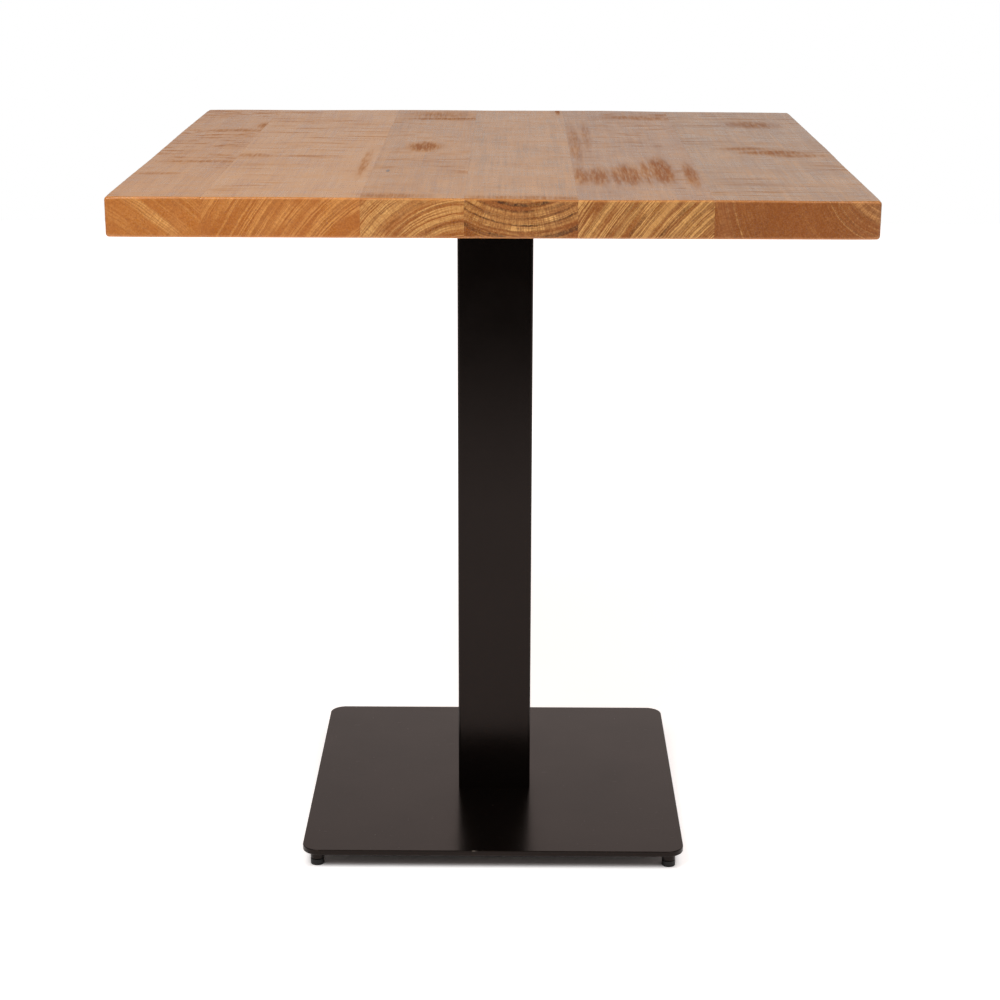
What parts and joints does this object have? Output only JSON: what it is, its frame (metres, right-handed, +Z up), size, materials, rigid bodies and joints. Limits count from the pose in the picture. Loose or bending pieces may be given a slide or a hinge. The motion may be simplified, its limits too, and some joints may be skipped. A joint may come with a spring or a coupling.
{
  "type": "bistro table",
  "caption": "Square bistro table with a thick edge-glued wood top on a square black steel column and a flat square steel base plate with levelling feet.",
  "frame": {"origin": "centre of the footprint, on the floor under the feet", "axes": "+Z up, -Y towards the front, +X to the right seen from the front; the boards' grain runs along Y"},
  "size_m": [0.7, 0.7, 0.735],
  "materials": {
    "wood_board_1": "satin lacquer",
    "wood_board_2": "satin lacquer",
    "wood_board_3": "satin lacquer",
    "wood_board_4": "satin lacquer",
    "wood_board_5": "satin lacquer",
    "wood_board_6": "satin lacquer",
    "black_powder_coat": "satin powder coat",
    "zinc_plated_steel": "zinc plated",
    "plain_steel": "mill",
    "black_plastic": "matt moulded"
  },
  "bodies": {
    "table": {"top_board_1": "wood_board_1", "top_board_2": "wood_board_2", "top_board_3": "wood_board_3", "top_board_4": "wood_board_4", "top_board_5": "wood_board_5", "top_board_6": "wood_board_6", "bracket": "black_powder_coat", "wood_screws": "zinc_plated_steel", "column": "black_powder_coat", "foot_block": "plain_steel", "base_screws": "zinc_plated_steel", "base_plate": "black_powder_coat", "front_left_bush": "black_powder_coat", "front_right_bush": "black_powder_coat", "back_left_bush": "black_powder_coat", "back_right_bush": "black_powder_coat"},
    "front_left_pad": {"front_left_pad": "black_plastic"},
    "front_left_stud": {"front_left_stud": "zinc_plated_steel"},
    "front_right_pad": {"front_right_pad": "black_plastic"},
    "front_right_stud": {"front_right_stud": "zinc_plated_steel"},
    "back_left_pad": {"back_left_pad": "black_plastic"},
    "back_left_stud": {"back_left_stud": "zinc_plated_steel"},
    "back_right_pad": {"back_right_pad": "black_plastic"},
    "back_right_stud": {"back_right_stud": "zinc_plated_steel"}
  },
  "joints": [
    {"name": "front_left_extend", "type": "slide", "parent": "table", "child": "front_left_pad", "axis": [0, 0, -1], "range_m": [0, 0.004]},
    {"name": "front_left_turn", "type": "hinge", "parent": "front_left_pad", "child": "front_left_stud", "pos_m": [-0.187, -0.187, 0.01], "axis": [0, 0, -1], "range_deg": [0, 1152.5]},
    {"name": "front_right_extend", "type": "slide", "parent": "table", "child": "front_right_pad", "axis": [0, 0, -1], "range_m": [0, 0.004]},
    {"name": "front_right_turn", "type": "hinge", "parent": "front_right_pad", "child": "front_right_stud", "pos_m": [0.187, -0.187, 0.01], "axis": [0, 0, -1], "range_deg": [0, 1152.5]},
    {"name": "back_left_extend", "type": "slide", "parent": "table", "child": "back_left_pad", "axis": [0, 0, -1], "range_m": [0, 0.004]},
    {"name": "back_left_turn", "type": "hinge", "parent": "back_left_pad", "child": "back_left_stud", "pos_m": [-0.187, 0.187, 0.01], "axis": [0, 0, -1], "range_deg": [0, 1152.5]},
    {"name": "back_right_extend", "type": "slide", "parent": "table", "child": "back_right_pad", "axis": [0, 0, -1], "range_m": [0, 0.004]},
    {"name": "back_right_turn", "type": "hinge", "parent": "back_right_pad", "child": "back_right_stud", "pos_m": [0.187, 0.187, 0.01], "axis": [0, 0, -1], "range_deg": [0, 1152.5]}
  ],
  "couplings": [
    {"joint": "front_left_turn", "follows": "front_left_extend", "rad_per_m": 5026.5},
    {"joint": "front_right_turn", "follows": "front_right_extend", "rad_per_m": 5026.5},
    {"joint": "back_left_turn", "follows": "back_left_extend", "rad_per_m": 5026.5},
    {"joint": "back_right_turn", "follows": "back_right_extend", "rad_per_m": 5026.5}
  ]
}
